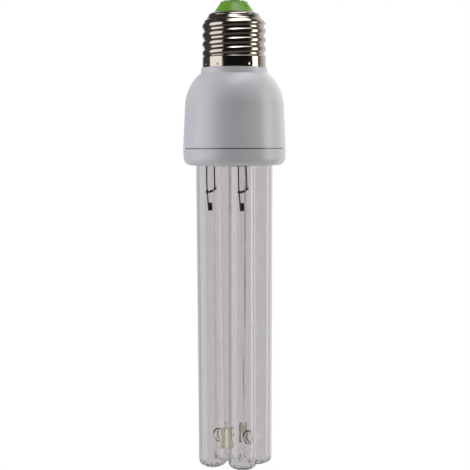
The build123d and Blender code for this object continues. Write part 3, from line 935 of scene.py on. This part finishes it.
    def bridge(
        self, first: tuple[int, int], second: tuple[int, int], depth: float, radius: float
    ) -> Mesh:
        """A fused neck between two tubes, a little wider where it runs into them.

        Args:
            first: one tube's place.
            second: the other's.
            depth: how deep the neck is.
            radius: the neck's own.

        Returns:
            The closed mesh.
        """
        start, end = self.point(first, depth), self.point(second, depth)
        span = (end - start).length
        reach = self.radius - self.wall / 2
        foot = reach - self.bridge_overlap
        run = span - 2 * reach + 2 * self.bridge_overlap
        profile = [(0.0, foot)]
        for row in range(self.bridge_rows + 1):
            along = row / self.bridge_rows
            flare = self.bridge_flare * (2 * along - 1) ** 6
            profile.append((radius + flare, foot + along * run))
        profile.append((0.0, span - reach + self.bridge_overlap))
        return Mesher.lathe(profile, "bridge", self.segments // 2, self.axis(start, end))

    def pinch(self, tube: tuple[int, int]) -> Mesh:
        """The flattened seal on top of a tube that holds an electrode.

        Args:
            tube: the tube's place.

        Returns:
            The closed mesh.
        """
        centre = self.point(tube, self.electrode_depth)
        low = self.sealed_top_depth + self.dome_height / 2
        build = bmesh.new()
        bmesh.ops.create_cube(build, size=1.0)
        size = Vector((*self.pinch_size, low - self.pinch_top_depth))
        middle = Vector((centre.x, centre.y, -(low + self.pinch_top_depth) / 2))
        for vert in build.verts:
            vert.co = (vert.co * size + middle) * MM
        return Mesher.close(build, "pinch")

    def skin(self, inset: float, bridge_radius: float) -> Mesh:
        """All tubes and necks as one skin.

        Args:
            inset: how far the tubes are drawn in.
            bridge_radius: the necks' radius.

        Returns:
            The closed mesh.
        """
        left, front, right, back = self.places
        forms = [self.tube(tube, inset) for tube in self.places]
        forms.append(self.bridge(left, back, self.lower_bridge_depth, bridge_radius))
        forms.append(self.bridge(front, right, self.lower_bridge_depth, bridge_radius))
        forms.append(self.bridge(back, right, self.upper_bridge_depth, bridge_radius))
        if not inset:
            forms += [self.pinch(tube) for tube in self.sealed]
        return Mesher.fused(forms, "quartz_skin")

    def build_glass(self) -> bpy.types.Object:
        """Makes the envelope as an outer and an inner skin.

        Returns:
            The piece that stands for the envelope's solid.
        """
        build = bmesh.new()
        build.from_mesh(self.skin(0.0, self.bridge_radius))
        inner = bmesh.new()
        inner.from_mesh(self.skin(self.wall, self.bridge_bore_radius))
        bmesh.ops.reverse_faces(inner, faces=inner.faces)
        build.from_mesh(Mesher.close(inner, "inner_skin"))
        mesh = Mesher.close(build, "fused_quartz_envelope")
        piece = Mesher.finish("fused_quartz_envelope", mesh, DRAWN_QUARTZ.build(), sharp_deg=35)
        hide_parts("quartz_envelope")
        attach(piece, BODY)
        return piece

    def build(self) -> None:
        """Makes the glass and dresses the pads, the foils and the outer leads."""
        log.info("%s made", self.build_glass().name)
        dress(AMBER_SILICONE, "tube_spacer")
        dress(ETCHED_FOIL, "seal_foils")
        dress(TINNED_WIRE, "outer_leads")


@dataclass
class Electrode:
    """One electrode: two leads, a coiled filament and the tube that holds the amalgam.

    Attributes:
        letter: the letter that its nodes' names end in.
        axis_offset: how far the tube's axis stands from the lamp's, along X and Y.
        near_point: where the filament leaves the long lead, from the tube's axis along X, and its depth.
        far_point: where it reaches the short lead.
        coil_start: how far from the long lead the winding starts.
        coil_length: how long the winding is.
        coil_radius: the winding's middle radius.
        sag: how far the winding hangs below the line between the leads.
        wire_radius: the coated wire's radius.
        turns: how many times it winds.
        tail_reach: how far the tails run on past the leads.
        turn_steps: how many straight steps a turn has.
        wire_sides: how many sides the wire's section has.
    """

    letter: str
    axis_offset: tuple[float, float]
    near_point: tuple[float, float] = (-1.4375, 50.15)
    far_point: tuple[float, float] = (2.0331, 48.85)
    coil_start: float = 0.75
    coil_length: float = 1.8
    coil_radius: float = 0.36
    sag: float = 0.45
    wire_radius: float = 0.12
    turns: int = 6
    tail_reach: float = 1.1
    turn_steps: int = 20
    wire_sides: int = 10

    @staticmethod
    def spot(tree: Tree, along: Socket | float, up: Socket | float = 0.0) -> Socket:
        """A point of the winding's route, so far along the filament and above its middle line."""
        return add_node(tree, "ShaderNodeCombineXYZ", {"X": along, "Z": up}).outputs[0]

    def coil_tree(self, material: bpy.types.Material, names: Iterable[str]) -> Tree:
        """The node tree that winds the coil along X and adds its two tails.

        Args:
            material: the coil's finish.
            names: the names of its inputs, which are sizes.

        Returns:
            The tree.
        """
        tree = bpy.data.node_groups.new("wound_filament", "GeometryNodeTree")
        for name in names:
            tree.interface.new_socket(name, in_out="INPUT", socket_type="NodeSocketFloat")
        tree.interface.new_socket("Geometry", in_out="OUTPUT", socket_type="NodeSocketGeometry")
        sizes = add_node(tree, "NodeGroupInput").outputs
        spiral = add_node(
            tree,
            "GeometryNodeCurveSpiral",
            {
                "Resolution": self.turn_steps,
                "Rotations": sizes["Turns"],
                "Start Radius": sizes["Coil Radius"],
                "End Radius": sizes["Coil Radius"],
                "Height": sizes["Coil Length"],
            },
        ).outputs["Curve"]
        downwards = {0: sizes["Sag"], 1: -1.0}
        drop = add_node(tree, "ShaderNodeMath", downwards, operation="MULTIPLY").outputs[0]
        first_turn = self.spot(tree, sizes["Coil Start"], drop)
        lying = {"Geometry": spiral, "Translation": first_turn, "Rotation": (0, math.pi / 2, 0)}
        coil = add_node(tree, "GeometryNodeTransform", lying).outputs["Geometry"]
        low, back, last, beyond = (
            add_node(tree, "ShaderNodeMath", {0: first, 1: second}, operation=operation).outputs[0]
            for first, second, operation in (
                (drop, sizes["Coil Radius"], "SUBTRACT"),
                (sizes["Tail Reach"], -1.0, "MULTIPLY"),
                (sizes["Coil Start"], sizes["Coil Length"], "ADD"),
                (sizes["Span"], sizes["Tail Reach"], "ADD"),
            )
        )
        near_tail = ((back, 0.0), (0.0, 0.0), (sizes["Coil Start"], low))
        far_tail = ((last, low), (sizes["Span"], 0.0), (beyond, 0.0))
        joined = add_node(tree, "GeometryNodeJoinGeometry")
        tree.links.new(coil, joined.inputs[0])
        for tail in (near_tail, far_tail):
            spots = [self.spot(tree, along, up) for along, up in tail]
            for start, end in zip(spots, spots[1:]):
                line = add_node(tree, "GeometryNodeCurvePrimitiveLine", {"Start": start, "End": end})
                tree.links.new(line.outputs["Curve"], joined.inputs[0])
        section = add_node(
            tree,
            "GeometryNodeCurvePrimitiveCircle",
            {"Resolution": self.wire_sides, "Radius": sizes["Wire Radius"]},
        ).outputs["Curve"]
        wire = add_node(
            tree,
            "GeometryNodeCurveToMesh",
            {"Curve": joined.outputs[0], "Profile Curve": section, "Fill Caps": True},
        ).outputs["Mesh"]
        real = add_node(tree, "GeometryNodeRealizeInstances", {"Geometry": wire}).outputs["Geometry"]
        dressed = add_node(
            tree, "GeometryNodeSetMaterial", {"Geometry": real, "Material": material}
        ).outputs["Geometry"]
        add_node(tree, "NodeGroupOutput", {"Geometry": dressed})
        return tree

    def ends(self) -> tuple[Vector, Vector]:
        """The two points where the filament crosses the leads.

        Returns:
            The point on the long lead and that on the short one, in millimetres.
        """
        x, y = self.axis_offset
        (near, near_depth), (far, far_depth) = self.near_point, self.far_point
        return Vector((x + near, y, -near_depth)), Vector((x + far, y, -far_depth))

    def build_filament(self) -> bpy.types.Object:
        """Winds the filament where its plain rod stands.

        Returns:
            The coil.
        """
        near, far = self.ends()
        sizes = {
            "Coil Radius": self.coil_radius * MM,
            "Coil Start": self.coil_start * MM,
            "Coil Length": self.coil_length * MM,
            "Sag": self.sag * MM,
            "Turns": self.turns,
            "Wire Radius": self.wire_radius * MM,
            "Span": (far - near).length * MM,
            "Tail Reach": self.tail_reach * MM,
        }
        material = COATED_COIL.build()
        tree = self.coil_tree(material, sizes)
        host = bpy.data.objects.new("coil_host", bpy.data.meshes.new("coil_host"))
        bpy.context.scene.collection.objects.link(host)
        winding = host.modifiers.new("winding", "NODES")
        winding.node_group = tree
        for socket in tree.interface.items_tree:
            if socket.name in sizes:
                winding[socket.identifier] = float(sizes[socket.name])
        graph = bpy.context.evaluated_depsgraph_get()
        mesh = bpy.data.meshes.new_from_object(host.evaluated_get(graph), depsgraph=graph)
        host.modifiers.remove(winding)
        bpy.data.objects.remove(host)
        slope = (far - near).to_track_quat("X", "Z").to_matrix().to_4x4()
        mesh.transform(Matrix.Translation(near * MM) @ slope)
        piece = Mesher.finish(f"wound_filament_{self.letter}", mesh, material, sharp_deg=60)
        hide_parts(f"filament_{self.letter}")
        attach(piece, BODY)
        return piece

    def build(self) -> None:
        """Winds the filament and dresses the rest."""
        log.info("%s made", self.build_filament().name)
        drawn = ("long_lead", "short_lead", "amalgam_holder")
        dress(DRAWN_WIRE, *(f"{node}_{self.letter}" for node in drawn))
        dress(CAST_AMALGAM, f"amalgam_pellet_{self.letter}")


@dataclass
class Ballast:
    """The electronics in the housing, each with its maker's finish."""

    finishes: dict[Finish, tuple[str, ...]] = field(
        default_factory=lambda: {
            PHENOLIC_BOARD: ("ballast_board",),
            SHRUNK_SLEEVE: ("smoothing_capacitor",),
            SINTERED_FERRITE: ("choke_core", "drive_core"),
            BLACK_NYLON: ("choke_bobbin",),
            WOUND_COPPER: ("choke_winding", "drive_windings"),
            DIPPED_EPOXY: ("starting_capacitor", "coupling_capacitor"),
            BLACK_COMPOUND: ("switching_transistor_1", "switching_transistor_2", "rectifier_diodes"),
            LACQUERED_ROD: ("base_resistors", "fusible_resistor"),
            TINNED_WIRE: ("shell_lead",),
        }
    )

    def build(self) -> None:
        """Dresses every part on the board."""
        for finish, nodes in self.finishes.items():
            dress(finish, *nodes)


@dataclass(frozen=True)
class Softbox:
    """One rectangular soft light that faces the lamp.

    Attributes:
        name: its name.
        turn_deg: how far it stands to the camera's left, round the lamp.
        rise_deg: its elevation.
        width: its width in metres.
        height: its height in metres.
        radiance: how bright its middle is, where 1 is white.
        colour: its colour, as sRGB hex.
        falloff: its brightness by the share of its height between its middle and a place.
    """

    name: str
    turn_deg: float
    rise_deg: float
    width: float
    height: float
    radiance: float
    colour: str = "ffffff"
    falloff: Ramp = Ramp(0.05, 0.5, 1.0, 0.1)


@dataclass
class Studio:
    """Camera, softboxes, pale floor and white background.

    The four levels of the world follow the cosine of the angle between a ray and the way to the
    camera: -1 is straight behind the lamp, and 1 is at the camera.

    Attributes:
        view_bearing: the camera's bearing from the front, in degrees.
        distance: from the lamp's axis, in metres.
        scale_px: the photograph's pixels for a millimetre at the lamp's axis.
        frame_px: the photograph's width and height.
        skirt_row_px: the photograph's row of the lamp's origin.
        axis_column_px: the photograph's column of the lamp's axis at the eye row.
        eye_row_px: the row at the camera's own height.
        roll_deg: the photograph's slight lean.
        sensor_mm: the width of the camera's sensor.
        clip_start: the nearest thing that the camera shows, in metres.
        box_distance: how far the softboxes stand from the lamp, in metres.
        boxes: the softboxes.
        room: how bright the world is for soft light.
        backdrop: how bright it is in a mirroring surface, by how far behind the lamp it is.
        dark_front: how much of that is left towards the camera.
        behind_glass: how bright the world is through the glass.
        lean: how far the backdrop and the view through the glass shift aside.
        floor_depth: how far below the lamp's origin the floor is, in metres.
        floor_radius: the floor's radius, in metres.
        floor_segments: how many sides it has.
        floor_colour: the colour that its shadow and its soft light have, as sRGB hex.
        mirrored_floor: its colour in a mirroring surface.
        floor_white: the share of it that is plain white, by how far from the lamp's axis it is.
    """

    view_bearing: float = 27.6
    distance: float = 0.6
    scale_px: float = 2.46
    frame_px: float = 470.0
    skirt_row_px: float = 68.0
    axis_column_px: float = 234.5
    eye_row_px: float = 148.0
    roll_deg: float = -0.19
    sensor_mm: float = 36.0
    clip_start: float = 0.05
    box_distance: float = 1.2
    boxes: tuple[Softbox, ...] = (
        Softbox("left_softbox", 71, 0, 1.2, 2.4, 1.95, "fbfaff"),
        Softbox("right_softbox", -82, 0, 0.5, 1.9, 3.8, "fffefa"),
        Softbox("top_softbox", -50, 78, 1.2, 0.8, 4.4),
    )
    room: Ramp = Ramp(-0.6, 0.4, 0.68, 0.0)
    backdrop: Ramp = Ramp(-0.95, -0.6, 1.0, 0.08)
    dark_front: Ramp = Ramp(-0.3, 0.3, 1.0, 0.15)
    behind_glass: Ramp = Ramp(-0.8, -0.3, 1.0, 0.7)
    lean: float = 0.4
    floor_depth: float = 0.24
    floor_radius: float = 0.35
    floor_segments: int = 96
    floor_colour: str = "cecdcb"
    mirrored_floor: str = "6a6a69"
    floor_white: Ramp = Ramp(0.04, 0.14, 0.8, 1.0)

    def toward(self, turn_deg: float, rise_deg: float = 0.0) -> Vector:
        """A direction from the lamp, counted from the camera's.

        Args:
            turn_deg: how far it is turned to the camera's left.
            rise_deg: how far it is raised.

        Returns:
            The direction, with a length of 1.
        """
        bearing = math.radians(self.view_bearing - 90 - turn_deg)
        rise = math.radians(rise_deg)
        level = math.cos(rise)
        return Vector((level * math.cos(bearing), level * math.sin(bearing), math.sin(rise)))

    def build_camera(self) -> None:
        """Sets a level camera at the photograph's angle, shifted to its framing."""
        millimetre = MM / self.scale_px
        eye_height = (self.skirt_row_px - self.eye_row_px) * millimetre
        right = self.toward(-90)
        aside = (self.frame_px / 2 - self.axis_column_px) * millimetre
        place = self.toward(0) * self.distance + Vector((0, 0, eye_height)) + right * aside
        data = bpy.data.cameras.new("camera")
        data.sensor_width = self.sensor_mm
        data.lens = self.scale_px * self.distance / MM / self.frame_px * self.sensor_mm
        data.shift_y = self.eye_row_px / self.frame_px - 0.5
        data.clip_start = self.clip_start
        camera = bpy.data.objects.new("camera", data)
        turn = (-self.toward(0)).to_track_quat("-Z", "Y").to_matrix()
        roll = Matrix.Rotation(math.radians(self.roll_deg), 3, "Z")
        camera.matrix_world = Matrix.Translation(place) @ (turn @ roll).to_4x4()
        bpy.context.scene.collection.objects.link(camera)
        bpy.context.scene.camera = camera

    def build_softbox(self, box: Softbox) -> None:
        """Hangs one softbox round the lamp, facing it and dimmer towards its upper and lower ends.

        Args:
            box: the softbox.
        """
        data = bpy.data.lights.new(box.name, "AREA")
        data.shape = "RECTANGLE"
        data.size = box.width
        data.size_y = box.height
        data.energy = box.radiance * math.pi * box.width * box.height
        data.color = linear(box.colour)[:3]
        tree = empty_tree(data)
        on_face = add_node(tree, "ShaderNodeNewGeometry").outputs["Parametric"]
        height = add_node(tree, "ShaderNodeSeparateXYZ", {"Vector": on_face}).outputs["Y"]
        from_middle = {0: height, 1: 0.5}
        offset = add_node(tree, "ShaderNodeMath", from_middle, operation="SUBTRACT").outputs[0]
        away = add_node(tree, "ShaderNodeMath", {0: offset}, operation="ABSOLUTE").outputs[0]
        share = add_node(
            tree, "ShaderNodeMapRange", box.falloff.inputs(away), interpolation_type="SMOOTHSTEP"
        ).outputs["Result"]
        face = add_node(tree, "ShaderNodeEmission", {"Strength": share}).outputs["Emission"]
        add_node(tree, "ShaderNodeOutputLight", {"Surface": face})
        lamp = bpy.data.objects.new(box.name, data)
        place = self.toward(box.turn_deg, box.rise_deg) * self.box_distance
        turn = (-place).to_track_quat("-Z", "Y").to_matrix().to_4x4()
        lamp.matrix_world = Matrix.Translation(place) @ turn
        bpy.context.scene.collection.objects.link(lamp)

    def build_world(self) -> None:
        """White behind the lamp, a grey room around it, and a dark side towards the camera."""
        world = bpy.data.worlds.new("studio")
        tree = empty_tree(world)
        way = add_node(tree, "ShaderNodeTexCoord").outputs["Generated"]
        facing, aside = (
            add_node(
                tree, "ShaderNodeVectorMath", {0: way, 1: direction}, operation="DOT_PRODUCT"
            ).outputs["Value"]
            for direction in (self.toward(0), self.toward(-90) * self.lean)
        )
        away = add_node(tree, "ShaderNodeMath", {0: facing, 1: aside}, operation="SUBTRACT").outputs[0]
        level = add_node(
            tree, "ShaderNodeMapRange", self.room.inputs(facing), interpolation_type="SMOOTHSTEP"
        ).outputs["Result"]
        backdrop, front, through = (
            add_node(tree, "ShaderNodeMapRange", inputs).outputs["Result"]
            for inputs in (
                self.backdrop.inputs(away),
                self.dark_front.inputs(facing),
                self.behind_glass.inputs(away),
            )
        )
        both = {0: backdrop, 1: front}
        mirrored = add_node(tree, "ShaderNodeMath", both, operation="MULTIPLY").outputs[0]
        rays = add_node(tree, "ShaderNodeLightPath").outputs
        for kind, other in (("Glossy", mirrored), ("Transmission", through), ("Camera", 1.0)):
            mix = {"Factor": rays[f"Is {kind} Ray"], "A": level, "B": other}
            level = add_node(tree, "ShaderNodeMix", mix, data_type="FLOAT").outputs["Result"]
        background = add_node(
            tree, "ShaderNodeBackground", {"Color": (1, 1, 1, 1), "Strength": level}
        ).outputs[0]
        add_node(tree, "ShaderNodeOutputWorld", {"Surface": background})
        bpy.context.scene.world = world

    def build_floor(self) -> None:
        """A pale round floor that looks white and keeps a faint shadow near its middle."""
        build = bmesh.new()
        bmesh.ops.create_circle(
            build, cap_ends=True, radius=self.floor_radius, segments=self.floor_segments
        )
        mesh = Mesher.close(build, "pale_floor")
        mesh.transform(Matrix.Translation((0, 0, -self.floor_depth)))
        material = bpy.data.materials.new("white_paper_sweep")
        tree = empty_tree(material)
        place = add_node(tree, "ShaderNodeTexCoord").outputs["Object"]
        level = add_node(
            tree, "ShaderNodeVectorMath", {0: place, 1: (1, 1, 0)}, operation="MULTIPLY"
        ).outputs["Vector"]
        away = add_node(tree, "ShaderNodeVectorMath", {0: level}, operation="LENGTH").outputs["Value"]
        keep = add_node(tree, "ShaderNodeMapRange", self.floor_white.inputs(away)).outputs["Result"]
        rays = add_node(tree, "ShaderNodeLightPath").outputs
        seen = add_node(
            tree,
            "ShaderNodeMath",
            {0: rays["Is Camera Ray"], 1: rays["Is Transmission Ray"]},
            operation="MAXIMUM",
        ).outputs[0]
        share = add_node(tree, "ShaderNodeMath", {0: seen, 1: keep}, operation="MULTIPLY").outputs[0]
        colours = {
            "Factor": rays["Is Glossy Ray"],
            "A": linear(self.floor_colour),
            "B": linear(self.mirrored_floor),
        }
        tone = add_node(tree, "ShaderNodeMix", colours, data_type="RGBA").outputs["Result"]
        paper = add_node(tree, "ShaderNodeBsdfDiffuse", {"Color": tone}).outputs[0]
        white = add_node(tree, "ShaderNodeEmission", {"Color": (1, 1, 1, 1), "Strength": 1.0}).outputs[0]
        mixed = add_node(tree, "ShaderNodeMixShader", {0: share, 1: paper, 2: white}).outputs[0]
        add_node(tree, "ShaderNodeOutputMaterial", {"Surface": mixed})
        mesh.materials.append(material)
        floor = bpy.data.objects.new("pale_floor", mesh)
        bpy.context.scene.collection.objects.link(floor)

    def build(self) -> None:
        """Builds the camera, the lights, the floor and the background."""
        self.build_camera()
        for box in self.boxes:
            self.build_softbox(box)
        self.build_world()
        self.build_floor()
        bpy.context.scene.view_settings.view_transform = "Standard"


def main() -> None:
    """Builds the lamp's looks and its studio."""
    logging.basicConfig(level=logging.INFO, format="%(message)s")
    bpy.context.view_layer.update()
    Studio().build()
    ScrewCap().build()
    BallastHousing().build()
    tubes = QuartzTubes()
    tubes.build()
    for letter, place in zip("ab", tubes.sealed):
        offset = tubes.point(place, tubes.electrode_depth)
        Electrode(letter, (offset.x, offset.y)).build()
    Ballast().build()


if __name__ == "__main__":
    main()
